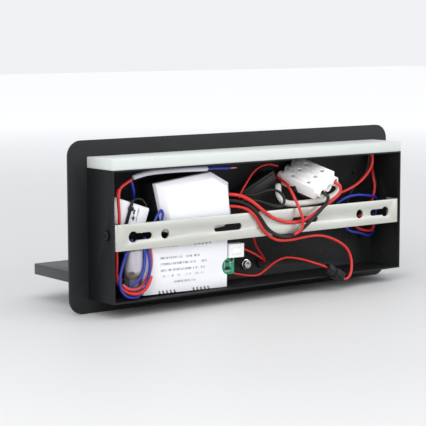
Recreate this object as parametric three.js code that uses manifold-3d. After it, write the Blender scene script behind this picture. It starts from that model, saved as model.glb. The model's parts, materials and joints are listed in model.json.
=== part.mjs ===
// A wall-mounted bedside lamp with a shelf, seen with its rear open: a black steel plate carries a
// shallow steel box with an opal light bar along its top, the supplies and wiring inside, a slotted
// wall strap across the open back, and on the front a small shelf, a reading lamp and a push switch.
// Millimetres. +X is to the right for someone facing the lamp, -Y points out of the wall, +Z is up.
// The origin is the middle of the strap's rear face, which lies on the wall.
import * as THREE from "three";
import { mergeVertices } from "three/addons/utils/BufferGeometryUtils.js";
import Module from "manifold-3d";

const wasm = await Module();
wasm.setup();

// Driving dimensions
const BOX_W = 295; // steel box, outside
const BOX_H = 109; // with the light bar on top
const BOX_D = 35.5;
const SHEET = 1.2; // box sheet
const STRAP_UP = 50; // strap's middle above the box's underside
const BAR_H = 8.3; // opal light bar
const BAR_WALL = 2;
const PLATE_W = 327.6; // front plate
const PLATE_H = 133;
const PLATE_T = 2.5;
const PLATE_R = 12;
const PLATE_BELOW = 11.5; // plate below the box
const STRAP_H = 20; // wall strap
const STRAP_T = 1.5;
const STRAP_BEND = 3;
const STRAP_TAB = 14;
const FIT = 0.3; // clearance between pieces that meet
const SCREW_R = 2; // M4 shanks
const SCREW_HOLE_R = 2.2;
const SIDE_SCREW = { depth: 8.7, z: 1.5, headR: 3.7, headH: 2, length: 7 };
const SHELF_START = -27.5; // shelf's inner end
const SHELF_L = 172.3;
const SHELF_D = 83;
const SHELF_T = 8.6;
const SHELF_SHEET = 1.5;
const SHELF_UP = 8; // above the box's underside
const SHELF_SCREW_INSET = 22.6;
const DRIVER = { l: 80.4, h: 38.3, wall: 1.5, face: 6.5, tilt: 1, cover: 14, x: 76, z: -28.6 };
const CHARGER = { l: 71, h: 38, bevel: 4.5, wall: 2, face: 5, tilt: 6.3, x: 66.8, z: 22.6 };
const LAMP_DRIVER = { l: 34, h: 20, t: 12, face: 10, tilt: 19, x: 126.4, z: 15.1 };
const MODULE = { l: 38, h: 16, t: 9, face: 22, tilt: 24.6, x: -10.5, z: 24.5 };
const TERMINAL = { l: 34, w: 28, h: 11, funnelR: 3.9, funnel: 4.6, pole: 9.2 };
const SWIVEL = { x: 124.4, y: -8, r: 7, top: -10.6, shoulder: -27, neckR: 4.2 };
const ARM_Z = -16; // reading lamp's arm
const ARM_T = 4;
const LAMP_Y = -62; // tilt axis of the reading lamp
const LAMP_R = 12;
const LAMP_REAR = 8; // lamp body below its tilt axis
const LAMP_FRONT = 42; // and above it
const SWITCH = { x: -122, z: 0, r: 7.8, buttonR: 5.6, travel: 2.5 };
const WIRE_R = 1.1;
const THIN_WIRE_R = 0.8;

// Worked out from them
const underside = -STRAP_UP;
const trayTop = underside + BOX_H - BAR_H;
const floorY = -BOX_D + SHEET; // rear face of the box's floor
const plateBack = -BOX_D;
const plateFront = plateBack - PLATE_T;
const innerX = BOX_W / 2 - SHEET;
const shelfTop = underside + SHELF_UP + SHELF_T;
const shelfLeft = SHELF_START;
const shelfRight = SHELF_START + SHELF_L;
const shelfMid = shelfTop - SHELF_T / 2;
const shelfFront = plateFront - SHELF_D;
const shelfScrewX = [shelfLeft + SHELF_SCREW_INSET, shelfRight - SHELF_SCREW_INSET];
const grommet = { x: shelfLeft + 6.5, r: 2.6 };
const ledHole = { x: -125, y: -13, r: 4.2 };
const cornerHole = { x: -138.5, y: -28, r: 1.9 };
const deg = Math.PI / 180;

const finish = (color, roughness, metalness) =>
  new THREE.MeshStandardMaterial({ color, roughness, metalness });
const powder = finish(0x1b1c1e, 0.6, 0.2);
const opal = finish(0xe9eeec, 0.5, 0);
const galvanised = finish(0xb9bab0, 0.4, 0.9);
const whitePlastic = finish(0xf2f2f5, 0.35, 0);
const nylon = finish(0xf4f3ee, 0.4, 0);
const blackPlastic = finish(0x17181a, 0.5, 0);
const blackSteel = finish(0x151515, 0.4, 0.6);
const zinc = finish(0xc9cacb, 0.3, 0.9);
const brass = finish(0xb59a55, 0.35, 0.9);
const boardGreen = finish(0x0e8f62, 0.4, 0);
const boardWhite = finish(0xeeeeea, 0.4, 0);
const greyCast = finish(0xc6c5cb, 0.45, 0.3);
const redPvc = finish(0xe02a20, 0.35, 0);
const bluePvc = finish(0x2b4fc4, 0.35, 0);
const blackPvc = finish(0x1d1a1b, 0.35, 0);
const greyPvc = finish(0x77788a, 0.4, 0);
const whiteSleeve = finish(0xefeee6, 0.6, 0);
const copper = finish(0xb8733a, 0.35, 0.9);
const clearPlastic = finish(0xf4f6f8, 0.1, 0);

const lamp = new THREE.Group();

// A closed geometry as a solid, and back.
function solid(geometry) {
  const bare = geometry.index ? geometry.toNonIndexed() : geometry.clone();
  bare.deleteAttribute("normal");
  bare.deleteAttribute("uv");
  const merged = mergeVertices(bare, 1e-4);
  const corners = [];
  for (let i = 0; i < merged.index.count; i += 3) {
    const [a, b, c] = merged.index.array.slice(i, i + 3);
    if (a !== b && b !== c && c !== a) corners.push(a, b, c);
  }
  return new wasm.Manifold(
    new wasm.Mesh({
      numProp: 3,
      vertProperties: new Float32Array(merged.attributes.position.array),
      triVerts: new Uint32Array(corners),
    }),
  );
}

function geometryOf(shape) {
  const mesh = shape.getMesh();
  const geometry = new THREE.BufferGeometry();
  geometry.setAttribute("position", new THREE.BufferAttribute(mesh.vertProperties, 3));
  geometry.setIndex(new THREE.BufferAttribute(mesh.triVerts, 1));
  return geometry;
}

function join(...geometries) {
  return geometryOf(geometries.map(solid).reduce((a, b) => a.add(b)));
}

function cut(geometry, ...tools) {
  return geometryOf(tools.map(solid).reduce((a, b) => a.subtract(b), solid(geometry)));
}

// A box between two corners.
function box(x0, x1, y0, y1, z0, z1) {
  const geometry = new THREE.BoxGeometry(x1 - x0, y1 - y0, z1 - z0);
  return geometry.translate((x0 + x1) / 2, (y0 + y1) / 2, (z0 + z1) / 2);
}

// A cylinder from one point, along an axis.
function rod(axis, r, length, x, y, z, sides = 24) {
  const geometry = new THREE.CylinderGeometry(r, r, length, sides).translate(0, length / 2, 0);
  if (axis === "x") geometry.rotateZ(-90 * deg);
  if (axis === "z") geometry.rotateX(90 * deg);
  return geometry.translate(x, y, z);
}

// An outline in X and Z, standing between two depths.
function slab(outline, yRear, thickness, curveSegments = 8) {
  const geometry = new THREE.ExtrudeGeometry(outline, {
    depth: thickness,
    bevelEnabled: false,
    curveSegments,
  });
  return geometry.rotateX(90 * deg).translate(0, yRear, 0);
}

function roundedOutline(x0, x1, z0, z1, r) {
  const outline = new THREE.Shape();
  outline.moveTo(x0 + r, z0).lineTo(x1 - r, z0).absarc(x1 - r, z0 + r, r, -90 * deg, 0);
  outline.lineTo(x1, z1 - r).absarc(x1 - r, z1 - r, r, 0, 90 * deg);
  outline.lineTo(x0 + r, z1).absarc(x0 + r, z1 - r, r, 90 * deg, 180 * deg);
  outline.lineTo(x0, z0 + r).absarc(x0 + r, z0 + r, r, 180 * deg, 270 * deg);
  return outline;
}

// A wire or sleeve along a smooth route.
function tube(points, r) {
  const route = new THREE.CatmullRomCurve3(points.map((p) => new THREE.Vector3(...p)));
  const section = new THREE.Shape();
  section.absarc(0, 0, r, 0, 360 * deg);
  return new THREE.ExtrudeGeometry(section, {
    steps: Math.ceil(route.getLength() / Math.min(6 * r, 7)),
    curveSegments: 8,
    extrudePath: route,
  });
}

function place(name, geometry, material, parent = lamp) {
  const mesh = new THREE.Mesh(geometry, material);
  mesh.name = name;
  parent.add(mesh);
  return mesh;
}

// A group at a place in X and Z, turned in the plane of the wall.
function tilted(x, z, degrees) {
  const group = new THREE.Group();
  group.position.set(x, 0, z);
  group.rotation.y = degrees * deg;
  lamp.add(group);
  return group;
}

// Holes that go through both the box's floor and the front plate.
function frontHoles() {
  const start = plateFront - 1;
  const slot = roundedOutline(SWIVEL.x - 9, SWIVEL.x + 9, ARM_Z - 3.4, ARM_Z + 3.4, 3.3);
  return [
    ...shelfScrewX.map((x) => rod("y", SCREW_HOLE_R, 6, x, start, shelfMid)),
    rod("y", grommet.r + FIT, 6, grommet.x, start, shelfMid),
    rod("y", SWITCH.r + FIT, 6, SWITCH.x, start, SWITCH.z, 32),
    slab(slot, floorY + 1, 8),
  ];
}

function steelBox() {
  const walls = cut(
    box(-BOX_W / 2, BOX_W / 2, plateBack, 0, underside, trayTop),
    box(-innerX, innerX, floorY, 1, underside + SHEET, trayTop - SHEET),
  );
  const screwHoles = [-1, 1].map((side) =>
    rod("x", SCREW_HOLE_R, 6, (side * BOX_W) / 2 - 3, -SIDE_SCREW.depth, SIDE_SCREW.z),
  );
  const wireHoles = [ledHole, cornerHole].map((hole) =>
    rod("z", hole.r, 6, hole.x, hole.y, trayTop - 4),
  );
  place("steel_box", cut(walls, ...screwHoles, ...wireHoles, ...frontHoles()), powder);
}

function frontPlate() {
  const bottom = underside - PLATE_BELOW;
  const outline = roundedOutline(-PLATE_W / 2, PLATE_W / 2, bottom, bottom + PLATE_H, PLATE_R);
  place("front_plate", cut(slab(outline, plateBack, PLATE_T), ...frontHoles()), powder);
}

// The opal bar is a long lid over the box, hollow below, with the strip of lamps inside.
function lightBar() {
  const top = trayTop + BAR_H;
  const hollow = box(
    -BOX_W / 2 + BAR_WALL, BOX_W / 2 - BAR_WALL,
    plateBack + BAR_WALL, -BAR_WALL,
    trayTop - 1, top - BAR_WALL,
  );
  const shell = box(-BOX_W / 2, BOX_W / 2, plateBack, 0, trayTop, top);
  place("opal_light_bar", cut(shell, hollow), opal);

  const board = box(-136, 136, -26, -18, trayTop + FIT, trayTop + FIT + 1);
  const chips = [];
  for (let x = -126; x <= 126; x += 18) {
    chips.push(box(x - 2.5, x + 2.5, -24.5, -19.5, trayTop + 1, trayTop + 2.8));
  }
  place("led_strip", join(board, ...chips), boardWhite);
}

function stadium(x0, x1, z, r) {
  return roundedOutline(x0, x1, z - r, z + r, r - 0.01);
}

function wallStrap() {
  const outer = innerX - FIT;
  const b = STRAP_BEND;
  const inner = b - STRAP_T;
  const section = new THREE.Shape();
  section.moveTo(-outer, -STRAP_TAB).lineTo(-outer + STRAP_T, -STRAP_TAB).lineTo(-outer + STRAP_T, -b);
  section.absarc(-outer + b, -b, inner, 180 * deg, 90 * deg, true);
  section.lineTo(outer - b, -STRAP_T).absarc(outer - b, -b, inner, 90 * deg, 0, true);
  section.lineTo(outer - STRAP_T, -STRAP_TAB).lineTo(outer, -STRAP_TAB).lineTo(outer, -b);
  section.absarc(outer - b, -b, b, 0, 90 * deg);
  section.lineTo(-outer + b, 0).absarc(-outer + b, -b, b, 90 * deg, 180 * deg);
  const strip = new THREE.ExtrudeGeometry(section, {
    depth: STRAP_H, bevelEnabled: false, curveSegments: 4,
  }).translate(0, 0, -STRAP_H / 2);
  const tools = [];
  for (const side of [-1, 1]) {
    const span = (a, c) => [Math.min(side * a, side * c), Math.max(side * a, side * c)];
    tools.push(slab(stadium(...span(112.4, 131), 0, 2.7), 1, 4, 6));
    tools.push(rod("y", 4.3, 4, side * 129.6, -3, 0));
    tools.push(rod("y", 3.8, 4, side * 100.3, -3, 0));
    tools.push(slab(stadium(...span(26, 53.5), 0, 2.7), 1, 4, 6));
    tools.push(
      rod("x", SCREW_HOLE_R, 8, side * outer - 4, -SIDE_SCREW.depth, SIDE_SCREW.z),
    );
  }
  place("wall_strap", cut(strip, ...tools), galvanised);
}

// Pan-head screws that pull the box onto the strap's bent ends.
function sideScrews() {
  const { depth, z, headR, headH, length } = SIDE_SCREW;
  for (const [name, side] of [["left", -1], ["right", 1]]) {
    const face = (side * BOX_W) / 2;
    const head = rod("x", headR, headH, side > 0 ? face : face - headH, -depth, z);
    const shank = rod("x", SCREW_R, length + 1, side > 0 ? face - length : face - 1, -depth, z, 16);
    const recess = rod("x", 1.5, 3, side > 0 ? face + 0.8 : face - 3.8, -depth, z, 6);
    place(`side_screw_${name}`, cut(join(head, shank), recess), blackSteel);
  }
}

// The main supply: a two-part white case with its board's end standing out of it.
function mainSupply() {
  const group = tilted(DRIVER.x, DRIVER.z, -DRIVER.tilt);
  const { l, h, wall, face, cover } = DRIVER;
  const split = -(face + cover);
  const end = -l / 2;
  const outer = box(end, l / 2, split, -face, -h / 2, h / 2);
  const hollow = box(end + wall, l / 2 - wall, split - 1, -face - wall, -h / 2 + wall, h / 2 - wall);
  const boardRear = -16;
  const boardGap = box(end - 1, end + 3, split - 1, boardRear + FIT, -11.3, 12.5);
  const notch = rod("y", 6.5, 9, end - 1.5, -face - 8, -3, 32);
  const vents = [];
  for (const edge of [-h / 2, h / 2]) {
    for (const first of [-22.4, 10.3]) {
      for (let i = 0; i < 5; i++) {
        const x = first + i * 3.6;
        const slot = new THREE.BoxGeometry(1.5, 9, 5).rotateY(25 * deg);
        vents.push(slot.translate(x, -face, edge));
      }
    }
  }
  place("supply_cover", cut(outer, hollow, boardGap, notch, ...vents), whitePlastic, group);

  const baseFront = floorY + FIT;
  const base = box(end, l / 2, baseFront, split - FIT, -h / 2, h / 2);
  const baseHollow = box(
    end + wall, l / 2 - wall, baseFront + wall, split + 1, -h / 2 + wall, h / 2 - wall,
  );
  place("supply_base", cut(base, baseHollow), whitePlastic, group);

  const board = box(end - 14.5, l / 2 - 5, boardRear - 1.6, boardRear, -11, 12.2);
  const coil = rod("y", 6, 7, 12, boardRear - 0.5, -3, 16);
  const capacitor = rod("y", 5, 7.5, -12, boardRear - 0.5, 2, 16);
  place("supply_board", join(board, coil, capacitor), boardGreen, group);

  const plugEnd = end - 18.6;
  const plug = box(plugEnd, end - 3.4, boardRear + FIT, boardRear + 7.3, 3.2, 14.2);
  const latch = box(plugEnd + 4, end - 6, boardRear + 7, boardRear + 8.8, 6.5, 10.9);
  const socket = rod("x", 1.4, 5, plugEnd - 1, boardRear + 3.8, 8.7, 12);
  place("board_plug", cut(join(plug, latch), socket), nylon, group);
}

// The second supply: a bevelled white cover with shoulders cut off at its wire end, on a black base.
function secondSupply() {
  const group = tilted(CHARGER.x, CHARGER.z, CHARGER.tilt);
  const { l, h, bevel, wall, face } = CHARGER;
  const x = l / 2;
  const top = h / 2;
  const bottom = -h / 2 - 7;
  const split = -face - 9;
  const outlineOf = (inset) => {
    const outline = new THREE.Shape();
    outline.moveTo(-x + inset, bottom + 5 + inset).lineTo(-x + 5 + inset, bottom + inset);
    outline.lineTo(x - 19 - inset, bottom + inset).lineTo(x - 6 - inset, bottom + 5 + inset);
    outline.lineTo(x - 2 - inset, top - inset).lineTo(-x + 13 + inset, top - inset);
    outline.lineTo(-x + inset, top - 9 - inset);
    return outline;
  };
  const bevelled = new THREE.ExtrudeGeometry(outlineOf(bevel), {
    depth: 20, bevelThickness: bevel, bevelSize: bevel, bevelSegments: 1,
  }).rotateX(90 * deg).translate(0, -face - bevel, 0);
  const rest = box(-60, 60, split - 30, split, -50, 50);
  const hollow = slab(outlineOf(bevel + 0.5), -face - wall, 20);
  const wireSlot = box(-x - 2, -x + 8, -12, -6, -12, 5.5);
  place("second_supply_cover", cut(bevelled, rest, hollow, wireSlot), whitePlastic, group);
  const baseFront = floorY + FIT;
  const base = slab(outlineOf(0.4), split - FIT, split - FIT - baseFront);
  place("second_supply_base", base, blackPlastic, group);
}

// The reading lamp's own small supply, with a tie round it.
function lampSupply() {
  const group = tilted(LAMP_DRIVER.x, LAMP_DRIVER.z, -LAMP_DRIVER.tilt);
  const { l, h, t, face } = LAMP_DRIVER;
  const edge = 1;
  const outline = roundedOutline(-l / 2 + edge, l / 2 - edge, -h / 2 + edge, h / 2 - edge, 0.6);
  const body = new THREE.ExtrudeGeometry(outline, {
    depth: t - 2 * edge, bevelThickness: edge, bevelSize: edge, bevelSegments: 1, curveSegments: 2,
  }).rotateX(90 * deg).translate(0, -face - edge, 0);
  place("lamp_supply", body, whitePlastic, group);

  const g = FIT;
  const band = 1.2;
  const ring = cut(
    box(0, 2.6, -face - t - g - band, -face + g + band, -h / 2 - g - band, h / 2 + g + band),
    box(-2, 5, -face - t - g, -face + g, -h / 2 - g, h / 2 + g),
  );
  const head = box(-0.6, 3.2, -face + g, -face + 3, 3.6, 6.6);
  place("cable_tie", join(ring, head), blackPlastic, group);
}

// A black control module behind the wires.
function controlModule() {
  const group = tilted(MODULE.x, MODULE.z, MODULE.tilt);
  const { l, h, t, face } = MODULE;
  const body = box(-l / 2, l / 2, -face - t, -face, -h / 2, h / 2);
  const rim = box(-l / 2 + 2, l / 2 - 2, -face - 1, -face + 0.8, -h / 2 + 2, h / 2 - 2);
  place("control_module", join(body, rim), blackPlastic, group);
}

// Three-pole terminal block: a nylon body with funnels at both ends and a brass clamp in each pole.
function terminalBlock() {
  const group = new THREE.Group();
  const through = new THREE.Vector3(-0.28, 0.91, -0.3).normalize();
  const across = new THREE.Vector3(0.92, 0.06, -0.43);
  const down = new THREE.Vector3().crossVectors(through, across).normalize();
  across.crossVectors(down, through);
  group.quaternion.setFromRotationMatrix(new THREE.Matrix4().makeBasis(through, across, down));
  group.position.set(-52.1, -11.3, 32.4);
  lamp.add(group);

  const { l, w, h, funnelR, funnel, pole } = TERMINAL;
  const tubeR = 2.5;
  const boreR = 1.6;
  const screwR = 1.5;
  const pieces = [box(-l / 2, l / 2, -w / 2, w / 2, -h / 2, h / 2)];
  const cuts = [];
  for (const i of [-1, 0, 1]) {
    const y = i * pole;
    pieces.push(rod("x", funnelR, l + 2 * funnel, -l / 2 - funnel, y, 0, 20));
    cuts.push(rod("x", tubeR + FIT, l + 2 * funnel + 2, -l / 2 - funnel - 1, y, 0, 16));
    for (const x of [-8, 8]) cuts.push(rod("z", 1.9, h, x, y, -h, 16));
  }
  for (const y of [-pole / 2, pole / 2]) {
    cuts.push(box(-l / 2 - 1, l / 2 + 1, y - 0.5, y + 0.5, -h / 2 - 1, -h / 2 + 2.5));
  }
  place("terminal_block", cut(join(...pieces), ...cuts), nylon, group);
  for (const i of [-1, 0, 1]) {
    const y = i * pole;
    const clamp = rod("x", tubeR, 25, -12.5, y, 0, 16);
    const screws = [-8, 8].map((x) => rod("z", screwR, 4, x, y, -4.6, 12));
    const bore = rod("x", boreR, 30, -15, y, 0, 12);
    const name = `terminal_clamp_${i + 2}`;
    place(name, cut(join(clamp, ...screws), bore), brass, group);
  }
}

// Two-pin in-line connector lying on the box's edge.
function inlineConnector() {
  const group = new THREE.Group();
  group.position.set(-67.6, 4.6, -46);
  group.rotation.set(8 * deg, -32 * deg, 0, "YXZ");
  lamp.add(group);
  const plug = join(box(0.3, 9.5, -3, 3, -3.3, 3.3), box(3, 9, 2.5, 4.2, -1.6, 1.6));
  const plugBore = rod("x", 1.3, 4, 6.5, 0, 0, 12);
  place("inline_plug", cut(plug, plugBore), blackPlastic, group);
  const socket = join(box(-10, 0, -3.6, 3.6, -4, 4), box(-3, -0.5, 3, 4.6, -2, 2));
  const socketBore = rod("x", 1.3, 4, -11, 0, 0, 12);
  place("inline_socket", cut(socket, socketBore), blackPlastic, group);
}

// The reading lamp: an upright cast barrel that turns between the box's underside and a bracket's
// pin, an arm through a slot in the front, and a short lamp that tilts at the arm's end.
function readingLamp() {
  const { x, y, r, top, shoulder, neckR } = SWIVEL;
  const foot = underside + SHEET + FIT;
  const profile = [
    [0, foot], [neckR - 0.8, foot], [neckR, foot + 0.8], [neckR, shoulder - 6.5],
    [6.2, shoulder - 4.6], [7.4, shoulder - 2.4], [r, shoulder], [r, top - 1], [r - 1, top],
    [0, top],
  ].map(([radius, z]) => new THREE.Vector2(radius, z));
  const barrel = new THREE.LatheGeometry(profile, 32).rotateX(90 * deg).translate(x, y, 0);
  const wireHole = rod("y", 1.9, 9, x + 4.9, y + 2, shoulder - 1.6);
  const armSeat = box(x - ARM_T / 2 - FIT, x + ARM_T / 2 + FIT, y - r - 1, y, ARM_Z - 3.3, ARM_Z + 3.3);
  const bearing = rod("z", 2.1, 4, x, y, top - 3, 16);
  place("swivel_barrel", cut(barrel, wireHole, armSeat, bearing), greyCast);

  const seatTop = top + 2;
  const bracket = join(
    box(x - 4.2, x + 4.2, floorY, y + 3.5, top + FIT, seatTop),
    rod("z", 2, 3, x, y, top - 2.5, 16),
  );
  place("barrel_bracket", bracket, zinc);

  const armTip = LAMP_Y;
  const arm = join(
    box(x - ARM_T / 2, x + ARM_T / 2, armTip, y - 2, ARM_Z - 3, ARM_Z + 3),
    rod("x", 4.5, ARM_T, x - ARM_T / 2, armTip, ARM_Z),
  );
  const pinR = 1.6;
  place("lamp_arm", cut(arm, rod("x", pinR + 0.1, 10, x - 5, armTip, ARM_Z, 16)), powder);
  place("tilt_pin", rod("x", pinR, 12, x - 6, armTip, ARM_Z, 16), zinc);

  const wall = 1.6;
  const bodyBottom = ARM_Z - LAMP_REAR;
  const bodyTop = ARM_Z + LAMP_FRONT;
  const shell = cut(
    rod("z", LAMP_R, LAMP_REAR + LAMP_FRONT, x, armTip, bodyBottom, 40),
    rod("z", LAMP_R - wall, LAMP_FRONT - 8, x, armTip, ARM_Z + 9, 40),
    box(x - ARM_T / 2 - FIT, x + ARM_T / 2 + FIT, armTip - 8, armTip + 20, ARM_Z - 8, ARM_Z + 8),
    box(x - ARM_T / 2 - FIT, x + ARM_T / 2 + FIT, armTip - 20, armTip + 20, bodyBottom - 1, ARM_Z),
    rod("x", pinR + 0.1, 12.6, x - 6.3, armTip, ARM_Z, 16),
  );
  place("lamp_body", shell, powder);
  const boardZ = ARM_Z + 9 + FIT;
  place("lamp_led_board", join(
    rod("z", LAMP_R - wall - FIT, 1.6, x, armTip, boardZ, 32),
    box(x - 2.5, x + 2.5, armTip - 2.5, armTip + 2.5, boardZ + 1, boardZ + 3),
  ), boardWhite);
  place("lamp_lens", rod("z", LAMP_R - wall - FIT, 3, x, armTip, bodyTop - 3.5, 40), clearPlastic);
}

// Push switch in the front plate, its body inside the box behind the strap.
function pushSwitch() {
  const { x, z, r, buttonR, travel } = SWITCH;
  const rear = -14;
  const bezelFront = plateFront - 2;
  const body = join(
    rod("y", r, rear - plateFront, x, plateFront, z, 32),
    rod("y", r + 2, 2, x, bezelFront, z, 32),
  );
  const terminals = [-3.5, 3.5].map((dx) =>
    box(x + dx - 1.4, x + dx + 1.4, rear - 1, rear + 3, z - 0.4, z + 0.4));
  const well = rod("y", buttonR + FIT, 12, x, bezelFront - 1, z, 32);
  place("switch_body", cut(join(body, ...terminals), well), blackPlastic);
  const buttonDepth = 10.4 - travel;
  place("switch_button", rod("y", buttonR, buttonDepth, x, bezelFront - 1.2, z, 32), greyCast);
}

// The shelf: a folded steel tray, open below and closed by a cover, with a charging coil under a
// round plastic pad, held by two screws from inside the box.
function shelf() {
  const s = SHELF_SHEET;
  const bottom = shelfTop - SHELF_T;
  const padX = (shelfLeft + shelfRight) / 2;
  const padY = (plateFront + shelfFront) / 2;
  const padR = 34;
  const shell = cut(
    box(shelfLeft, shelfRight, shelfFront, plateFront, bottom, shelfTop),
    box(shelfLeft + s, shelfRight - s, shelfFront + s, plateFront - s, bottom - 1, shelfTop - s),
    rod("z", padR + FIT, 6, padX, padY, shelfTop - 4, 48),
    rod("y", grommet.r + FIT, 6, grommet.x, plateFront - 4, shelfMid),
  );
  const bossDepth = 7;
  const bosses = shelfScrewX.map((x) =>
    box(x - 4, x + 4, plateFront - bossDepth, plateFront - 1, bottom + 2.5, shelfTop - 1));
  const threads = shelfScrewX.map((x) =>
    rod("y", SCREW_R + 0.1, bossDepth + 4, x, plateFront - bossDepth - 2, shelfMid, 16));
  place("shelf_shell", cut(join(shell, ...bosses), ...threads), powder);
  const g = s + FIT;
  place("shelf_cover",
    box(shelfLeft + g, shelfRight - g, shelfFront + g, plateFront - g, bottom, bottom + s), powder);
  place("charging_pad", rod("z", padR, s, padX, padY, shelfTop - s, 48), blackPlastic);
  const coil = cut(
    rod("z", 24, 1.6, padX, padY, shelfTop - s - 2.2, 40),
    rod("z", 10, 4, padX, padY, shelfTop - s - 3, 24),
  );
  place("charging_coil", coil, copper);
  const boardZ = bottom + s + 0.6;
  const board = box(shelfLeft + 16, shelfLeft + 50, plateFront - 32, plateFront - 12, boardZ, boardZ + 1.6);
  const chip = box(shelfLeft + 26, shelfLeft + 36, plateFront - 26, plateFront - 18, boardZ + 1, boardZ + 3);
  place("charging_board", join(board, chip), boardGreen);

  const grommetLength = 9;
  const sleeve = join(
    rod("y", grommet.r, grommetLength, grommet.x, floorY + 1.5 - grommetLength, shelfMid),
    rod("y", grommet.r + 1.6, 1.5, grommet.x, floorY, shelfMid),
  );
  const bore = rod("y", 1.9, 20, grommet.x, plateFront - 12, shelfMid);
  place("shelf_grommet", cut(sleeve, bore), blackPlastic);

  shelfScrewX.forEach((x, i) => {
    const washer = rod("y", 4.3, 0.8, x, floorY, shelfMid);
    const head = rod("y", 3.4, 2.6, x, floorY + 0.6, shelfMid);
    const shank = rod("y", SCREW_R, 11, x, floorY - 10, shelfMid, 16);
    const across = box(x - 2.2, x + 2.2, floorY + 2, floorY + 5, shelfMid - 0.45, shelfMid + 0.45);
    const upright = box(x - 0.45, x + 0.45, floorY + 2, floorY + 5, shelfMid - 2.2, shelfMid + 2.2);
    place(`shelf_screw_${i + 1}`, cut(join(washer, head, shank), across, upright), zinc);
  });
}

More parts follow.
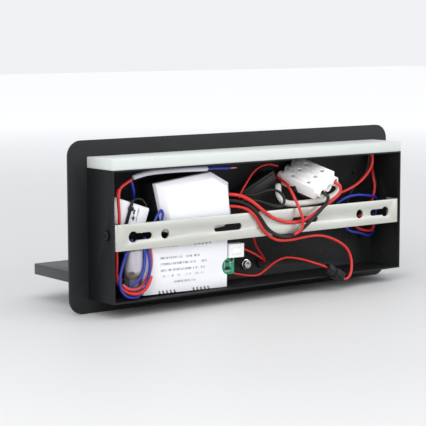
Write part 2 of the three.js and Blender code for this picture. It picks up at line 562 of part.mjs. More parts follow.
// Wires and sleeves, each along its own route.
function wiring() {
  const thick = 1.35;
  const wires = [
    ["cable_jacket", greyPvc, 1.9,
      [[122.6, -10, 43.6], [112, -10, 46], [96, -9.5, 47], [74, -8, 47.2], [55, -7, 46.8]]],
    ["wire_blue_tail", bluePvc, 1,
      [[54.5, -7, 46.8], [48, -6.8, 46.7], [42, -6.5, 46.4], [37, -6.2, 46.1], [32.6, -6, 46]]],
    ["wire_red_left", redPvc, WIRE_R,
      [[124, -10.2, 42.2], [130, -9.5, 39.5], [136, -8.5, 36.5], [138.4, -7, 32], [139, -6, 26.6],
        [138, -6, 17], [137.6, -7.2, 10], [137.6, -8, -1], [139.6, -8, -12], [139.6, -7.4, -20],
        [139.6, -8.4, -29], [138.4, -7.4, -37], [134.2, -4.4, -42], [129.4, -1.7, -44],
        [123.6, 0.2, -43.9], [118.6, 0.6, -40.6], [115.4, 0.6, -36], [113.6, 0.4, -31]]],
    ["wire_blue_left", bluePvc, WIRE_R,
      [[122.9, -12.8, 41.6], [120.5, -14, 37], [117.5, -17, 32], [114, -22, 28.5], [112, -26, 24]]],
    ["wire_blue_outer", bluePvc, WIRE_R,
      [[126.5, -6.4, -3], [133.5, -2.9, -11.2], [135.6, -4.4, -18.4], [138, -4.6, -26.5],
        [139.8, -4, -33.3], [138.6, -4, -40.3], [135, -4, -45.2], [130, -3.2, -47.2],
        [124.9, -2.4, -46.5], [119.6, -2, -43.2], [116.4, -2.2, -38.8], [114.2, -2.2, -31.9],
        [112.8, -2.3, -21.6], [114, -4.2, -11], [114.6, -5, -6.4], [115.4, -6, -2]]],
    ["wire_blue_inner", bluePvc, WIRE_R,
      [[117.5, -3.8, -3.7], [117.6, -3.4, -8.6], [117, -3.2, -16.4], [117.9, -2.4, -22.6],
        [121.4, 0.4, -28.4], [124.8, 0, -33.4], [128.8, -1.4, -36.7], [132, -2.6, -37]]],
    ["wire_pink_loop", redPvc, WIRE_R,
      [[112.2, -4.8, -5], [110.8, -4.8, -13], [109.9, -4.8, -18], [110.3, -4.9, -26],
        [113.2, -4.9, -33], [117, -4.9, -37], [120.6, -3.2, -39.6], [125.2, -2.2, -40.9],
        [131.2, -2.6, -40.4], [134.6, -5.4, -38.6], [135.6, -7.4, -36.4]]],
    ["wire_live", redPvc, thick,
      [[36.5, -9, 25.1], [31.4, -8.4, 24.9], [25.7, -2.6, 24.3], [17, 1.2, 19.2], [7.2, 2, 11.8],
        [-4.5, 2, 4.1], [-16.2, 2, 0.2], [-29.5, 2, -1.2], [-41.5, 2.6, 1.3], [-53, 4.6, 8.6],
        [-62, 8.6, 15.4], [-67.6, 12, 21], [-68.4, 13.4, 25.4], [-66.9, 11.8, 28], [-65.4, 7.3, 29.5],
        [-63.3, 0.5, 31.8]]],
    ["wire_neutral", blackPvc, thick,
      [[36.5, -9, 20.6], [31.4, -8.4, 20.2], [24.3, -2.6, 19], [15.6, 1.4, 13.2], [8.6, 2, 5.2],
        [1.4, 2, -4.2], [-9.4, 2, -10.4], [-19.7, 2, -12.2], [-30, 2.2, -10], [-38, 4.4, -3.6],
        [-45.2, 8, 4.6], [-50, 11.2, 11], [-53.2, 14, 16.4], [-53, 14.4, 20], [-50.9, 9.4, 22.2],
        [-49, 3.3, 24.2]]],
    ["wire_red_out", redPvc, WIRE_R,
      [[36.5, -9, 16.2], [30.9, -8, 15.4], [24.4, -3, 14.8], [18.6, 1.2, 12], [12.6, 1.9, 5.2],
        [4, 1.8, -6.6], [-7.6, 1.6, -13.8], [-22, 0.4, -15.4], [-41.9, -3, -14.9],
        [-58.8, -4, -15], [-74.4, -3.6, -19.5], [-87.6, -2, -27.8], [-91.5, -0.4, -37.4],
        [-89.6, 2, -46.4], [-84.6, 4.2, -52.4], [-79.4, 4.6, -53.3], [-74.6, 4.6, -50.4]]],
    ["wire_red_inline", redPvc, THIN_WIRE_R,
      [[-61.7, 4.6, -42.3], [-57.4, 4.4, -39.6], [-51, 1, -37.2], [-44.6, -4.4, -34.6],
        [-36, -8.6, -32.4], [-27.7, -12, -31.8], [-19, -14.5, -35.5], [-11.7, -16, -40.6],
        [-3, -16, -44.6], [6.5, -16, -43.8], [17, -15, -41.6], [22.6, -15, -40.3]]],
    ["wire_plug_red", redPvc, THIN_WIRE_R,
      [[18.6, -12.2, -20.8], [14.6, -12.2, -20.9], [8, -12.8, -23.4], [-1, -14.6, -27.6],
        [-10, -18, -32.2], [-17.6, -24.6, -36.2], [-20, -29.6, -37.7], [-20.05, -33, -37.7],
        [-20.05, -42, -37.7]]],
    ["wire_pair_red", redPvc, THIN_WIRE_R,
      [[3, -14.5, -3], [-0.5, -18, -14.4], [-7.6, -22.6, -23], [-15.4, -26, -30],
        [-21, -29, -35], [-22, -32.6, -37.4], [-21.95, -36, -37.7], [-21.95, -42, -37.7]]],
    ["wire_cross_red", redPvc, WIRE_R,
      [[-41.3, -21.9, 32.6], [-39.1, -29, 34.9], [-36.2, -32.3, 35.8], [-32.8, -31, 34.8],
        [-31, -25, 33.2], [-30.4, -17, 31], [-29.4, -9.5, 28], [-29.2, -3, 21], [-30.6, 2.4, 11.7],
        [-32, 5.4, 4], [-33.2, 6, -0.6], [-32.8, 6, -5], [-29.4, 5.4, -8.6], [-24, 4.8, -10.6]]],
    ["wire_black_loop", blackPvc, WIRE_R,
      [[26, -13, 23], [15.4, -12, 22.6], [8.1, -9, 22], [-0.4, -6, 24.9], [-9, -3.6, 26.7],
        [-16.4, -1.4, 22.8], [-18.6, 0.2, 17], [-14.6, 1.3, 12.6], [-7.4, 1.5, 13.4],
        [1.4, -1.6, 16.5], [8.6, -6, 18.6], [16, -12, 18.6], [24, -15, 17]]],
    ["wire_arc_red", redPvc, THIN_WIRE_R,
      [[13.5, -20, 19.5], [10.2, -20, 25.5], [4, -21.5, 31.8], [-3.4, -24, 38],
        [-12, -25, 43.2], [-21.8, -25, 44.8], [-32.2, -26, 42.5]]],
    ["wire_led_red", redPvc, WIRE_R,
      [[-124.6, -12, 52], [-125.4, -12, 47], [-126.2, -12, 41.8], [-121.1, -12, 33.7],
        [-111.4, -12, 25.8], [-97.6, -11, 20.4], [-86, -11, 17.4]]],
    ["wire_led_black", blackPvc, THIN_WIRE_R,
      [[-124, -15.2, 52], [-124.4, -15.4, 46.4], [-123.1, -15.6, 35.7], [-112.6, -15, 26.2],
        [-102.8, -14.6, 16.8], [-99, -14.4, 8]]],
    ["wire_switch_red", redPvc, WIRE_R,
      [[-138.5, -28, 52], [-138, -27.8, 46], [-136.4, -24, 36], [-134.6, -20.4, 27], [-136.6, -20, 19.9],
        [-135.6, -20, 13.9], [-133.6, -21, 6], [-135, -22, -4], [-137.6, -22, -12], [-134, -20, -18.2],
        [-122.2, -17, -17.2], [-110, -14.6, -13.6], [-106, -13.2, -7], [-112, -12.6, -2.6],
        [-116.4, -12.6, -1.7]]],
    ["wire_switch_blue", bluePvc, WIRE_R,
      [[-83.4, -10.4, 9], [-93.6, -9, 14], [-107.3, -9.6, 15], [-122.3, -12, 13], [-134, -16.4, 11],
        [-140.6, -22, 4.6], [-142, -25, -5], [-141.6, -26, -14], [-138, -24.4, -22.6],
        [-128, -19.6, -22.6], [-112.2, -14, -18.2], [-97, -11.2, -14.4], [-91, -10.4, -6],
        [-98, -9.6, 1.2], [-110, -9.4, 3.4], [-120, -10, 2.3], [-125.4, -10.4, 1.8]]],
    ["white_sleeve", whiteSleeve, 2.4,
      [[-26.4, -18.2, 27.6], [-23.4, -15, 24.2], [-21, -10, 18.6], [-25, -8, 14], [-34.2, -7.5, 12.6],
        [-50, -7, 12.8], [-66.6, -6, 14.6], [-77.9, -5, 18], [-82.3, -5, 22.8], [-79.6, -7, 27]]],
  ];
  for (const [name, material, r, route] of wires) place(name, tube(route, r), material);
}

steelBox();
frontPlate();
lightBar();
wallStrap();
sideScrews();
mainSupply();
secondSupply();
lampSupply();
controlModule();
terminalBlock();
inlineConnector();
readingLamp();
pushSwitch();
shelf();
wiring();

export default lamp;
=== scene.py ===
# A wall-mounted bedside lamp with its rear still open: black plate and box, opal light bar, wall
# strap, supplies and loose wiring, with a shelf, a reading lamp and a push switch on its front.
import json
import math

import bmesh
import bpy
from mathutils import Matrix, Quaternion, Vector


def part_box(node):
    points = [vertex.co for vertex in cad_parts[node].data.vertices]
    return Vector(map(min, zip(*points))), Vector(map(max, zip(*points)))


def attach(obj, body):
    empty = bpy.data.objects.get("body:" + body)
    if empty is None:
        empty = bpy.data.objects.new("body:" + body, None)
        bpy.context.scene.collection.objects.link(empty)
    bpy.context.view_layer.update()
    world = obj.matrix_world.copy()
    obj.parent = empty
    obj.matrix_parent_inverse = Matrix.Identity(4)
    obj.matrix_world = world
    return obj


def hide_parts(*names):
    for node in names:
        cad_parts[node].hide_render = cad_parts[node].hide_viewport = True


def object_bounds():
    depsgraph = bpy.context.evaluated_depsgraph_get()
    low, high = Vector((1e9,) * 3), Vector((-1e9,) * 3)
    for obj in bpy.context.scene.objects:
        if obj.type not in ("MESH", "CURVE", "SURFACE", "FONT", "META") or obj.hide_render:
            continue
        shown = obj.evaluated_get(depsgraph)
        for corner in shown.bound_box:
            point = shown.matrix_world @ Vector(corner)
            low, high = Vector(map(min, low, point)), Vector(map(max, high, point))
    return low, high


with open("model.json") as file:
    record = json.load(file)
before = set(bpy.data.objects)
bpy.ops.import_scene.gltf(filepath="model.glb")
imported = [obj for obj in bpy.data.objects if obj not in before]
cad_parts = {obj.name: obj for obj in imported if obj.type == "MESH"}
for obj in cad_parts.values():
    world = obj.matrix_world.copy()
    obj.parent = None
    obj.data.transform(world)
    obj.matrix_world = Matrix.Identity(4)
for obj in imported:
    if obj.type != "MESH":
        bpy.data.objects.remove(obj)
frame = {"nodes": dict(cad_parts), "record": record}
nodes = frame["nodes"]
cad_low, cad_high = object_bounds()
scene = bpy.context.scene
mm = 0.001
crease = math.radians(35)
nearly_flat = math.radians(1)
merge_within = 2e-6


# Camera and light. The lamp is looked at from behind and to one side, a little from above, with a
# long lens. Soft boxes light it from above and from both rear corners, and the world fills the
# shadows; only the camera sees the pale grey backdrop.
camera_data = bpy.data.cameras.new("camera")
camera_data.lens = 125.8
camera_data.clip_end = 20
camera_roll = math.radians(-0.156)
camera = bpy.data.objects.new("camera", camera_data)
scene.collection.objects.link(camera)
scene.camera = camera
camera.location = (0.7497, 0.9179, 0.1518)
look = Vector((-0.5993, -0.7915, -0.1201))
level = look.to_track_quat("-Z", "Y")
camera.rotation_euler = (level @ Quaternion((0, 0, 1), camera_roll)).to_euler()

scene.view_settings.view_transform = "Standard"
scene.view_settings.look = "None"


def soft_box(name, place, size, power, colour):
    """A square area light that faces the lamp's middle."""
    light = bpy.data.lights.new(name, "AREA")
    light.size = size
    light.energy = power
    light.color = colour
    lamp = bpy.data.objects.new(name, light)
    scene.collection.objects.link(lamp)
    lamp.location = place
    lamp.rotation_euler = (-Vector(place)).to_track_quat("-Z", "Y").to_euler()


soft_box("overhead", (0.15, 0.25, 1.3), 1.5, 11, (1, 0.99, 0.98))
soft_box("from_the_rear_left", (1.3, 0.9, 0.7), 0.9, 13, (1, 1, 1))
soft_box("from_the_rear_right", (-1.1, 1.2, 0.6), 0.9, 7, (0.97, 0.98, 1))

world = bpy.data.worlds.new("studio")
scene.world = world
world.use_nodes = True
sky = world.node_tree
ambient = sky.nodes["Background"]
ambient.inputs["Color"].default_value = (0.93, 0.95, 1, 1)
ambient.inputs["Strength"].default_value = 0.65
backdrop = sky.nodes.new("ShaderNodeBackground")
backdrop.inputs["Color"].default_value = (0.88, 0.885, 0.91, 1)
seen = sky.nodes.new("ShaderNodeLightPath")
either = sky.nodes.new("ShaderNodeMixShader")
sky.links.new(seen.outputs["Is Camera Ray"], either.inputs["Fac"])
sky.links.new(ambient.outputs["Background"], either.inputs[1])
sky.links.new(backdrop.outputs["Background"], either.inputs[2])
sky.links.new(either.outputs["Shader"], sky.nodes["World Output"].inputs["Surface"])


# Front plate and box: folded and welded steel sheet in fine-textured black powder coat. The coat
# has a pebbled surface, a faint cloudiness and a few specks of dust. The tools for materials and
# for eased edges come first, as every later section uses them.
class Value:
    """A socket that takes arithmetic, which adds Math nodes to its material."""

    def __init__(self, maker, socket):
        self.maker = maker
        self.socket = socket

    def math(self, operation, other):
        return self.maker.node("ShaderNodeMath", {"operation": operation}, {0: self, 1: other})

    def __add__(self, other):
        return self.math("ADD", other)

    def __mul__(self, other):
        return self.math("MULTIPLY", other)

    def above(self, edge, width):
        """0 below the edge and 1 above it, with a soft step."""
        return self.ramp(edge, edge + width, 0, 1)

    def ramp(self, low, high, out_low, out_high):
        """Runs from out_low at low to out_high at high, and stays there beyond them."""
        names = {0: self, "From Min": low, "From Max": high, "To Min": out_low, "To Max": out_high}
        return self.maker.node("ShaderNodeMapRange", {"clamp": True}, names, "Result")


class Finish:
    """A procedural material on Object coordinates, built up socket by socket."""

    def __init__(self, name, **fixed):
        self.material = bpy.data.materials.new(name)
        self.material.use_nodes = True
        self.tree = self.material.node_tree
        self.shader = self.tree.nodes["Principled BSDF"]
        for socket, value in fixed.items():
            self.set(socket.replace("_", " "), value)
        self.place = self.node("ShaderNodeTexCoord", {}, {}, "Object")

    def put(self, socket, value):
        """Links or sets one socket; a colour may leave out its alpha."""
        if isinstance(value, Value):
            self.tree.links.new(value.socket, socket)
        elif hasattr(value, "__len__") and len(value) == 3 and len(socket.default_value) == 4:
            socket.default_value = (*value, 1)
        else:
            socket.default_value = value

    def node(self, kind, settings, inputs, output=0):
        """Adds a node: its settings first, then the values or links of its sockets."""
        made = self.tree.nodes.new(kind)
        for name, value in settings.items():
            setattr(made, name, value)
        for name, value in inputs.items():
            self.put(made.inputs[name], value)
        return Value(self, made.outputs[output])

    def set(self, socket, value):
        self.put(self.shader.inputs[socket], value)

    def height(self):
        return self.node("ShaderNodeSeparateXYZ", {}, {"Vector": self.place}, "Z")

    def noise(self, scale, detail=3, stretch=(1, 1, 1)):
        place = self.node("ShaderNodeMapping", {}, {"Vector": self.place, "Scale": stretch})
        inputs = {"Vector": place, "Scale": scale, "Detail": detail, "Roughness": 0.55}
        return self.node("ShaderNodeTexNoise", {}, inputs)

    def mix(self, factor, low, high):
        """A colour between two, on the mix node's colour sockets."""
        colours = {0: factor, 6: low, 7: high}
        return self.node("ShaderNodeMix", {"data_type": "RGBA"}, colours, 2)

    def bump(self, height, distance, strength=1):
        inputs = {"Height": height, "Distance": distance, "Strength": strength}
        self.set("Normal", self.node("ShaderNodeBump", {}, inputs))


body_of = {n: body for body, ns in frame["record"]["behaviour"]["bodies"].items() for n in ns}


def dress(name, finish):
    """Gives a CAD node its material."""
    for slot in nodes[name].material_slots:
        slot.material = finish.material


def register(piece, finish, body):
    """Puts a new piece into the scene on its body, with its material."""
    scene.collection.objects.link(piece)
    piece.data.materials.clear()
    piece.data.materials.append(finish.material)
    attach(piece, body)


def bevelled(shape, edges, ease, segments):
    """Rounds edges of a bmesh and returns the new faces."""
    return bmesh.ops.bevel(
        shape, geom=edges, offset=ease, segments=segments, profile=0.5, affect="EDGES",
        material=-1, clamp_overlap=True,
    )["faces"]


def eased(name, finish, ease, segments=2, crease=crease):
    """A node's shape with its loose triangles joined up and its edges eased where they turn by
    more than the crease angle. Faces that belong to a round are shaded smooth."""
    mesh = nodes[name].data.copy()
    shape = bmesh.new()
    shape.from_mesh(mesh)
    bmesh.ops.remove_doubles(shape, verts=shape.verts, dist=merge_within)
    bmesh.ops.dissolve_limit(
        shape, angle_limit=nearly_flat, verts=shape.verts, edges=shape.edges
    )
    sharp = [e for e in shape.edges if e.is_manifold and e.calc_face_angle() > crease]
    rounds = set(shape.edges) - set(sharp)
    for face in shape.faces:
        face.smooth = any(
            e in rounds and e.is_manifold and e.calc_face_angle() > nearly_flat for e in face.edges
        )
    for face in bevelled(shape, sharp, ease, segments):
        face.smooth = True
    shape.to_mesh(mesh)
    shape.free()
    mesh.set_sharp_from_angle(angle=crease)
    piece = bpy.data.objects.new(name + "_finished", mesh)
    register(piece, finish, body_of[name])
    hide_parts(name)


def powder_coat(name, colour, pale, dust, shine=0.3, roughness=(0.44, 0.62)):
    coat = Finish(name, Specular_IOR_Level=shine)
    cloud = coat.noise(14, 3)
    grain = coat.noise(1500, 2)
    speck = coat.noise(420, 1).above(0.76, 0.03) * dust
    base = coat.mix(cloud.ramp(0.35, 0.7, 0, 1), colour, pale)
    coat.set("Base Color", coat.mix(speck, base, (0.35, 0.35, 0.34)))
    coat.set("Roughness", grain.ramp(0.3, 0.7, *roughness))
    coat.bump(grain, 0.00012, 0.5)
    return coat


plate_coat = powder_coat("plate_powder_coat", (0.011, 0.012, 0.0125), (0.015, 0.0165, 0.017), 0.12)
# Painted shade: the box's coat is a darker copy of the plate's black powder coat, because the box
# stands in more shade than the plate.
box_coat_with_painted_shade = powder_coat("box_powder_coat_painted_shade", (0.0055, 0.006, 0.0062), (0.0085, 0.0095, 0.0105), 0.22)
eased("front_plate", plate_coat, 0.35 * mm)
eased("steel_box", box_coat_with_painted_shade, 0.25 * mm)


# Opal light bar: a long acrylic lid with satin faces that spreads the light of the strip below it.
# Its colour darkens towards its lower edge, and its rear face has a few hairline scuffs.
opal = Finish("opal_acrylic", Roughness=0.42, Subsurface_Weight=0.15, IOR=1.49)
bar_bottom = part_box("opal_light_bar")[0].z
lower_edge_band = 1.6 * mm
scuffs = opal.noise(30, 4, (0.25, 1, 9)).above(0.55, 0.2)
# The colour darkens over the bar's lowest 1.6 mm, towards its lower edge.
darker_lower_edge = opal.height().ramp(bar_bottom, bar_bottom + lower_edge_band, 1, 0) * 0.5
opal_colour = opal.mix(scuffs * 0.35, (0.63, 0.665, 0.64), (0.54, 0.57, 0.55))
opal.set("Base Color", opal.mix(darker_lower_edge, opal_colour, (0.44, 0.47, 0.455)))
opal.shader.inputs["Subsurface Radius"].default_value = (0.004, 0.004, 0.004)
eased("opal_light_bar", opal, 0.3 * mm)

board_white = Finish("white_board", Roughness=0.4)
board_white.set("Base Color", board_white.mix(
    board_white.noise(300), (0.78, 0.78, 0.74), (0.70, 0.70, 0.67)))
dress("led_strip", board_white)
dress("lamp_led_board", board_white)


# Wall strap: a galvanised strip with keyholes, slots and round holes, bent forward at both ends.
# The rolled zinc has a faint grain along the strip, soft spangle and dull patches.
zinc_strip = Finish("galvanised_strip", Metallic=0.55)
rolled = zinc_strip.noise(160, 4, (0.06, 1, 1))
spangle = zinc_strip.noise(70, 2)
patches = zinc_strip.noise(22, 3).ramp(0.35, 0.7, 0, 1)
zinc_colour = zinc_strip.mix(rolled, (0.55, 0.56, 0.50), (0.63, 0.64, 0.585))
zinc_strip.set("Base Color", zinc_strip.mix(patches * 0.4, zinc_colour, (0.46, 0.47, 0.425)))
zinc_strip.set("Roughness", (spangle * 0.14 + rolled * 0.12).ramp(0, 0.26, 0.3, 0.46))
zinc_strip.bump(rolled, 0.00006, 0.4)
eased("wall_strap", zinc_strip, 0.18 * mm)


# Side screws: pan heads with a socket, blackened with oxide. The colour and the gloss are a little
# uneven, as on cheap hardware.
black_oxide = Finish("black_oxide", Metallic=0.7)
black_oxide.set("Base Color", black_oxide.mix(
    black_oxide.noise(900), (0.012, 0.012, 0.012), (0.03, 0.03, 0.03)))
black_oxide.set("Roughness", black_oxide.noise(1200).ramp(0.3, 0.7, 0.28, 0.42))
for side in ("left", "right"):
    eased(f"side_screw_{side}", black_oxide, 0.35 * mm, 3)


# Supplies: glossy white moulded cases, very slightly cool, with a fine moulding texture. The plug
# and the terminal block are of milky nylon, the clamps of plated brass, the boards green.
def white_moulding(name, colour, rough):
    plastic = Finish(name, Coat_Weight=0.15, Coat_Roughness=0.2)
    tone = plastic.noise(35, 3)
    fine = plastic.noise(700, 2)
    plastic.set("Base Color", plastic.mix(tone, colour, tuple(c * 0.95 for c in colour)))
    plastic.set("Roughness", fine.ramp(0.3, 0.7, rough - 0.05, rough + 0.07))
    plastic.bump(fine, 0.00005, 0.25)
    return plastic


case_white = white_moulding("case_white", (0.90, 0.90, 0.93), 0.33)
for case in ("supply_cover", "supply_base"):
    eased(case, case_white, 0.6 * mm, 3)
eased("second_supply_cover", case_white, 0.9 * mm, 3, math.radians(25))
eased("lamp_supply", case_white, 0.3 * mm, 2, math.radians(25))

nylon = Finish("milky_nylon", Subsurface_Weight=0.08, Roughness=0.38)
nylon.set("Base Color", nylon.mix(nylon.noise(120), (1.0, 1.0, 0.985), (0.96, 0.97, 0.95)))
nylon.shader.inputs["Subsurface Radius"].default_value = (0.003, 0.003, 0.0025)
nylon.bump(nylon.noise(600), 0.00005, 0.2)
eased("board_plug", nylon, 0.35 * mm)
eased("terminal_block", nylon, 0.35 * mm, 2, math.radians(40))

brass = Finish("plated_brass", Metallic=1)
brass.set("Base Color", brass.mix(brass.noise(500), (0.72, 0.68, 0.58), (0.60, 0.56, 0.46)))
brass.set("Roughness", brass.noise(800).ramp(0.3, 0.7, 0.25, 0.4))
for pole in (1, 2, 3):
    eased(f"terminal_clamp_{pole}", brass, 0.12 * mm)

green_board = Finish("green_board", Roughness=0.35)
tracks = green_board.noise(500, 1, (1, 1, 0.2)).above(0.52, 0.03)
green_board.set("Base Color", green_board.mix(tracks, (0.012, 0.30, 0.15), (0.02, 0.42, 0.22)))
green_board.bump(tracks, 0.00004, 0.5)
for board in ("supply_board", "charging_board"):
    dress(board, green_board)


# Black mouldings: tie, control module, connector halves, switch body and grommet in satin plastic,
# and a duller charging pad. All have a fine texture and a slightly uneven tone.
def black_moulding(name, colour, rough):
    plastic = Finish(name, Specular_IOR_Level=0.28)
    fine = plastic.noise(900, 2)
    paler = tuple(c * 1.7 for c in colour)
    plastic.set("Base Color", plastic.mix(plastic.noise(60), colour, paler))
    plastic.set("Roughness", fine.ramp(0.3, 0.7, rough - 0.06, rough + 0.08))
    plastic.bump(fine, 0.00006, 0.3)
    return plastic


black_plastic = black_moulding("black_plastic", (0.007, 0.0072, 0.0078), 0.4)
for part in ("cable_tie", "control_module", "inline_plug", "inline_socket", "second_supply_base"):
    eased(part, black_plastic, 0.3 * mm)
for part in ("switch_body", "shelf_grommet"):
    eased(part, black_plastic, 0.2 * mm)
pad_rubber = black_moulding("pad_rubber", (0.018, 0.018, 0.019), 0.6)
eased("charging_pad", pad_rubber, 0.2 * mm)


# Reading lamp: a satin cast barrel in the box, with painted shade below its shoulder where it
# faces down, and outside the box a powder-coated arm and lamp with a clear lens. The small
# hardware is bright zinc.
cast_grey = Finish("cast_grey", Metallic=0.25)
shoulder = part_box("swivel_barrel")[0].z + 22 * mm
cast_colour = cast_grey.mix(cast_grey.noise(90), (0.49, 0.47, 0.51), (0.42, 0.40, 0.44))
# Painted shade: below the shoulder the barrel's colour turns dark brown-grey where it faces down.
painted_shade_below_shoulder = cast_grey.height().ramp(shoulder - 2 * mm, shoulder, 1, 0)
cast_grey.set("Base Color", cast_grey.mix(painted_shade_below_shoulder, cast_colour, (0.22, 0.19, 0.17)))
cast_grey.set("Roughness", cast_grey.noise(600).ramp(0.3, 0.7, 0.34, 0.5))
cast_grey.bump(cast_grey.noise(700), 0.00006, 0.4)
eased("swivel_barrel", cast_grey, 0.2 * mm, 2, math.radians(30))

bright_zinc = Finish("bright_zinc", Metallic=1)
bright_zinc.set("Base Color", bright_zinc.mix(
    bright_zinc.noise(300), (0.78, 0.78, 0.77), (0.62, 0.62, 0.62)))
bright_zinc.set("Roughness", bright_zinc.noise(900).ramp(0.3, 0.7, 0.18, 0.34))
for part in ("barrel_bracket", "tilt_pin", "shelf_screw_1", "shelf_screw_2"):
    eased(part, bright_zinc, 0.15 * mm)

for part in ("lamp_arm", "lamp_body"):
    eased(part, plate_coat, 0.3 * mm)

lens_clear = Finish("lens_clear", Roughness=0.08, Transmission_Weight=0.9, IOR=1.49)
facets = lens_clear.noise(260, 1)
lens_clear.set("Base Color", lens_clear.mix(facets, (0.93, 0.95, 0.96), (0.85, 0.88, 0.9)))
lens_clear.bump(facets, 0.0002, 0.4)
eased("lamp_lens", lens_clear, 0.3 * mm)

button_grey = black_moulding("button_grey", (0.20, 0.20, 0.21), 0.35)
eased("switch_button", button_grey, 0.5 * mm, 3)


# Shelf: a folded tray in a smoother and glossier coat than the plate's, so that its top catches
# the light. Under the pad lies a copper charging coil.
shelf_coat = powder_coat(
    "shelf_powder_coat", (0.016, 0.0165, 0.017), (0.021, 0.022, 0.0225), 0.1, 0.9, (0.34, 0.46)
)
eased("shelf_shell", shelf_coat, 0.4 * mm)
eased("shelf_cover", shelf_coat, 0.2 * mm)
copper = Finish("copper", Metallic=1)
rings = copper.noise(400, 2)
copper.set("Base Color", copper.mix(rings, (0.62, 0.30, 0.16), (0.45, 0.20, 0.10)))
copper.set("Roughness", rings.ramp(0.3, 0.7, 0.25, 0.4))
dress("charging_coil", copper)


# Wires: single-core PVC insulation with a soft gloss, each along its own route and drawn round.
# The cable's jacket is grey, and the thick sleeve beside the terminal block is white and woven.
def insulation(name, colour, worn_colour):
    pvc = Finish(name, Coat_Weight=0.1, Coat_Roughness=0.25)
    pvc.set("Base Color", pvc.mix(pvc.noise(70, 3), colour, worn_colour))
    pvc.set("Roughness", pvc.noise(500).ramp(0.3, 0.7, 0.3, 0.42))
    pvc.bump(pvc.noise(350), 0.00005, 0.2)
    return pvc


red = insulation("red_insulation", (0.66, 0.018, 0.014), (0.54, 0.012, 0.011))
pink = insulation("rose_insulation", (0.62, 0.07, 0.10), (0.52, 0.05, 0.08))
blue = insulation("blue_insulation", (0.012, 0.032, 0.36), (0.008, 0.022, 0.26))
black = insulation("black_insulation", (0.008, 0.0072, 0.0072), (0.014, 0.0125, 0.0125))
black.set("Specular IOR Level", 0.3)
grey = insulation("grey_jacket", (0.68, 0.67, 0.74), (0.56, 0.55, 0.63))
sleeving = Finish("woven_sleeving", Roughness=0.7)
weave = sleeving.node("ShaderNodeTexVoronoi", {}, {"Vector": sleeving.place, "Scale": 1400}, 0)
sleeving.set("Base Color", sleeving.mix(
    sleeving.noise(150), (0.83, 0.82, 0.76), (0.72, 0.71, 0.66)))
sleeving.bump(weave, 0.0001, 0.5)


def smooth_faces(mesh):
    for face in mesh.polygons:
        face.use_smooth = True


swell = 0.1


def drawn(name, radius, finish):
    """A wire's tube, made round: its rings are joined into quads, swelled to take up what
    subdivision draws in, and subdivided."""
    mesh = nodes[name].data.copy()
    tube = bmesh.new()
    tube.from_mesh(mesh)
    bmesh.ops.remove_doubles(tube, verts=tube.verts, dist=merge_within)
    longest = [max(face.edges, key=lambda e: e.calc_length()) for face in tube.faces]
    across = {e for e in longest if longest.count(e) == 2}
    bmesh.ops.dissolve_edges(tube, edges=list(across), use_verts=False)
    tube.normal_update()
    for vert in tube.verts:
        vert.co += vert.normal * radius * swell
    tube.to_mesh(mesh)
    tube.free()
    smooth_faces(mesh)
    piece = bpy.data.objects.new(name + "_drawn", mesh)
    register(piece, finish, body_of[name])
    rounding = piece.modifiers.new("rounding", "SUBSURF")
    rounding.levels = 2
    rounding.render_levels = 2
    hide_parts(name)


wires = {
    "wire_red_left": (1.1, red), "wire_blue_left": (1.1, blue), "wire_blue_tail": (1.0, blue),
    "wire_blue_outer": (1.1, blue), "wire_blue_inner": (1.1, blue), "wire_pink_loop": (1.1, pink),
    "wire_live": (1.35, red), "wire_neutral": (1.35, black), "wire_red_out": (1.1, red),
    "wire_red_inline": (0.8, red), "wire_plug_red": (0.8, red), "wire_pair_red": (0.8, red),
    "wire_cross_red": (1.1, red), "wire_black_loop": (1.1, black), "wire_arc_red": (0.8, red),
    "wire_led_red": (1.1, red), "wire_led_black": (0.8, black), "wire_switch_red": (1.1, red),
    "wire_switch_blue": (1.1, blue), "cable_jacket": (1.9, grey), "white_sleeve": (2.4, sleeving),
}
for name, (radius, finish) in wires.items():
    drawn(name, radius * mm, finish)


# Label print: thin grey bars stand for the lines of print on the main supply. Like all the small
# pieces that follow, they are drawn in millimetres, put in place and ride on the housing.
def piece_from(shape, name, finish, turn=None, ease=0):
    """A bmesh in millimetres, eased, turned into place and registered."""
    if ease:
        bevelled(shape, list(shape.edges), ease, 2)
    bmesh.ops.transform(shape, matrix=turn or Matrix(), verts=shape.verts)
    bmesh.ops.scale(shape, vec=(mm, mm, mm), verts=shape.verts)
    mesh = bpy.data.meshes.new(name)
    shape.to_mesh(mesh)
    shape.free()
    smooth_faces(mesh)
    mesh.set_sharp_from_angle(angle=crease)
    register(bpy.data.objects.new(name, mesh), finish, "housing")


def add_block(shape, low, high):
    """Adds a box between two corners."""
    middle = [(a + b) / 2 for a, b in zip(low, high)]
    size = [b - a for a, b in zip(low, high)]
    matrix = Matrix.Translation(middle) @ Matrix.Diagonal((*size, 1))
    bmesh.ops.create_cube(shape, size=1, matrix=matrix)


def turned(x, z, degrees):
    """The place of a supply: its middle in X and Z and its tilt in the plane of the wall."""
    return Matrix.Translation((x, 0, z)) @ Matrix.Rotation(math.radians(degrees), 4, "Y")


main_supply = turned(76, -28.6, -1)
print_grey = Finish("label_print", Roughness=0.5)
broken = print_grey.noise(900, 1, (1, 1, 0.15)).above(0.47, 0.06)
print_grey.set("Base Color", print_grey.mix(broken, (0.36, 0.36, 0.40), (0.74, 0.74, 0.77)))
bars = bmesh.new()
bar_half = 0.85
bar_front, bar_back = -6.52, -6.42
rows = [(8.4, (-24.5, -3.2), (-0.3, 5.5), (7.4, 12.7)), (3.7, (-24.5, 9), (14.2, 20.1)),
        (-1.2, (-24, 5), (6.5, 7.5), (9, 12), (14, 17.8)),
        (-5.7, (-22.6, -20), (-17.6, -16.6), (-14.4, -12), (-8.3, -5), (0.1, 4.5), (8.2, 11.9),
         (14, 17.2)), (-10.6, (-11.8, 9))]
for z, *spans in rows:
    for start, end in spans:
        add_block(bars, (-end, bar_front, z - bar_half), (-start, bar_back, z + bar_half))
piece_from(bars, "supply_print", print_grey, main_supply)


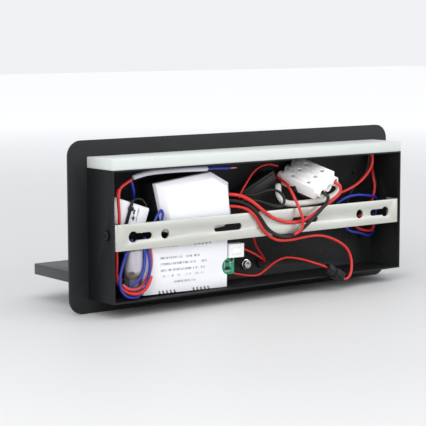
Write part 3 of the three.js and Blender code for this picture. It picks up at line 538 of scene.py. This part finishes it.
# Circuit board's free end: a few black chips on the green board, and white outlines beside them.
# Both follow the main supply's tilt.
chip_black = black_moulding("chip_black", (0.02, 0.02, 0.022), 0.45)
board_face = -16
chips = bmesh.new()
for x, z, w, h in [(-48, -6, 4, 2.4), (-52, 1, 1.6, 3), (-47.6, -1, 2, 1.2)]:
    add_block(
        chips, (x - w / 2, board_face - 0.1, z - h / 2), (x + w / 2, board_face + 0.9, z + h / 2)
    )
piece_from(chips, "board_chips", chip_black, main_supply, 0.12)
marks = bmesh.new()
for x, z, w, h in [(-45, -3.4, 0.5, 5), (-50.6, -3.4, 0.5, 5), (-47.8, -8.4, 6, 0.5),
                   (-53.6, 0.8, 0.5, 5), (-50.5, -1.6, 2.4, 0.5)]:
    add_block(
        marks, (x - w / 2, board_face - 0.05, z - h / 2), (x + w / 2, board_face + 0.06, z + h / 2)
    )
piece_from(marks, "board_outlines", board_white, main_supply)


# Dark block below the terminal block: a black slab, tilted about as much as the block and with
# softly rounded edges.
dark_block = bmesh.new()
add_block(dark_block, (-13.5, -4, -4.4), (13.5, 2.5, 4.4))
piece_from(dark_block, "dark_block_below_terminal", black_plastic,
           Matrix.Translation((-50.5, -14, 19.6)) @ Matrix.Rotation(math.radians(-33), 4, "Y"), 0.5)


# Fixings in the box's floor: two small pan heads and a press stud near the switch, as low tapered
# discs that face the open rear.
facing_rear = Matrix.Rotation(math.radians(-90), 4, "X")
floor_depth = -33.5
fixings = [(-131.2, 21.2, 2.2), (-131.6, -24.7, 2.2), (-123.5, 30.8, 1.5)]
for number, (x, z, r) in enumerate(fixings, 1):
    stud = bmesh.new()
    bmesh.ops.create_cone(
        stud, cap_ends=True, segments=32, radius1=r, radius2=r * 0.72, depth=1.4,
        matrix=Matrix.Translation((x, floor_depth, z)) @ facing_rear,
    )
    piece_from(stud, f"floor_fixing_{number}", black_oxide)


# Bare end of the blue wire: its stripped copper strands, twisted to a taper. They stick out of the
# insulation just below the light bar.
strands = bmesh.new()
bmesh.ops.create_cone(
    strands, cap_ends=True, segments=16, radius1=0.75, radius2=0.55, depth=6,
    matrix=Matrix.Translation((29.8, -6, 46.0)) @ Matrix.Rotation(math.radians(-90), 4, "Y"),
)
piece_from(strands, "blue_tail_strands", copper)


# Grip ribs across both halves of the in-line connector: three on the thicker half and two on the
# other, proud of its top and bottom.
ribs = bmesh.new()
rib_half = 0.45
proud = 0.35
for x in (-8.2, -6.2, -4.2, 1.4, 8.4):
    half = 3.75 if x < 0 else 3.15
    add_block(ribs, (x - rib_half, -half, -half - proud), (x + rib_half, half, half + proud))
lie = Matrix.Rotation(math.radians(-32), 4, "Y") @ Matrix.Rotation(math.radians(8), 4, "X")
piece_from(ribs, "connector_ribs", black_plastic,
           Matrix.Translation((-67.6, 4.6, -46)) @ lie, 0.1)


# Crimped sleeve on the left red wire, where it is joined below the light bar. It and the thin
# wires after it are round tubes along smooth curves.
sides = 12
steps = 12


def strand(name, points, radius, finish):
    """A round wire in millimetres through its points, with closed ends."""
    path = [Vector(p) for p in points]
    path = [2 * path[0] - path[1], *path, 2 * path[-1] - path[-2]]
    centres = []
    for a, b, c, d in zip(path, path[1:], path[2:], path[3:]):
        for i in range(steps):
            t = i / steps
            centres.append(0.5 * (2 * b + (c - a) * t + (2 * a - 5 * b + 4 * c - d) * t ** 2
                                  + (3 * b - a - 3 * c + d) * t ** 3))
    centres.append(path[-2])
    tube = bmesh.new()
    side = (centres[1] - centres[0]).orthogonal().normalized()
    rings = []
    for i, centre in enumerate(centres):
        ahead = centres[min(i + 1, len(centres) - 1)] - centres[max(i - 1, 0)]
        side = (side - ahead * side.dot(ahead) / ahead.length_squared).normalized()
        across = ahead.normalized().cross(side)
        turns = [k * 2 * math.pi / sides for k in range(sides)]
        rings.append([
            tube.verts.new(centre + radius * (side * math.cos(t) + across * math.sin(t)))
            for t in turns
        ])
    for first, second in zip(rings, rings[1:]):
        for k in range(sides):
            tube.faces.new((first[k], first[k - 1], second[k - 1], second[k]))
    tube.faces.new(rings[0])
    tube.faces.new(reversed(rings[-1]))
    bmesh.ops.recalc_face_normals(tube, faces=tube.faces)
    piece_from(tube, name, finish)


strand("crimp_sleeve", [(136.9, -8.1, 35.4), (138.2, -7.2, 32.6), (138.8, -6.4, 29.6)], 1.75,
       red)


# Thin strands of wire: the switch's black partner wire, the small supply's black lead, and a bight
# of blue wire that stands up from behind the strap beside the second supply.
strand("switch_black", [
    (-139.4, -29.4, 47), (-138.6, -27.6, 40), (-138.6, -24, 31), (-139.8, -22.4, 22),
    (-138.6, -22.6, 14), (-136.6, -23.4, 6), (-138, -24.6, -3),
], 0.8, black)
strand("supply_black_lead", [
    (125.5, -9.2, 22), (124, -8.6, 25.6), (121, -8.4, 27.4), (116, -8.4, 26.8), (113, -8.8, 24),
    (111, -9.4, 21),
], 0.55, black)
strand("blue_bight", [
    (107.6, -4.4, 8.6), (104.4, -3.8, 14.6), (101.6, -3.4, 17.8), (100.2, -3.3, 14.6),
    (101, -3.8, 8.6),
], 1.05, blue)


# Print on the small supply: a short dark bar, a grey disc with a dark middle and a pale grey band,
# which follow the supply's tilt.
small_supply = turned(126.4, 15.1, -19)
dark_print = bmesh.new()
add_block(dark_print, (-4.2, -10.06, 1.7), (-2.7, -9.95, 5.4))
bmesh.ops.create_cone(
    dark_print, cap_ends=True, segments=32, radius1=1.25, radius2=1.25, depth=0.14,
    matrix=Matrix.Translation((-4, -9.92, -1.1)) @ facing_rear,
)
piece_from(dark_print, "lamp_supply_dark_print", chip_black, small_supply)
pale_print = bmesh.new()
add_block(pale_print, (-7.8, -10.05, -3), (-6.3, -9.96, 8))
bmesh.ops.create_cone(
    pale_print, cap_ends=True, segments=32, radius1=2.3, radius2=2.3, depth=0.08,
    matrix=Matrix.Translation((-4, -9.98, -1.1)) @ facing_rear,
)
piece_from(pale_print, "lamp_supply_pale_print", print_grey, small_supply)


# Floor: a wide pale sheet of paper that the plate's lower edge stands on. It glows a little more
# with distance, so that it stays as light far away as it is beside the lamp.
sweep_mesh = bpy.data.meshes.new("sweep")
sweep = bmesh.new()
half_width = 6
bmesh.ops.create_grid(sweep, x_segments=1, y_segments=1, size=half_width)
bmesh.ops.translate(sweep, verts=sweep.verts, vec=(0, 0, cad_low.z))
sweep.to_mesh(sweep_mesh)
sweep.free()
floor = bpy.data.objects.new("sweep", sweep_mesh)
scene.collection.objects.link(floor)
paper = Finish("pale_paper", Roughness=0.55)
paper.set("Base Color", paper.mix(paper.noise(3), (0.655, 0.655, 0.65), (0.635, 0.635, 0.63)))
away = paper.node("ShaderNodeVectorMath", {"operation": "LENGTH"}, {0: paper.place}, "Value")
near, far, brightest = 0.25, 2.3, 0.54
glow = away.ramp(near, far, 0, brightest)
cooler = {"Red": glow, "Green": glow * 1.004, "Blue": glow * 1.02}
tint = paper.node("ShaderNodeCombineColor", {}, cooler)
paper.set("Emission Color", tint)
paper.set("Emission Strength", 1.0)
floor.data.materials.append(paper.material)
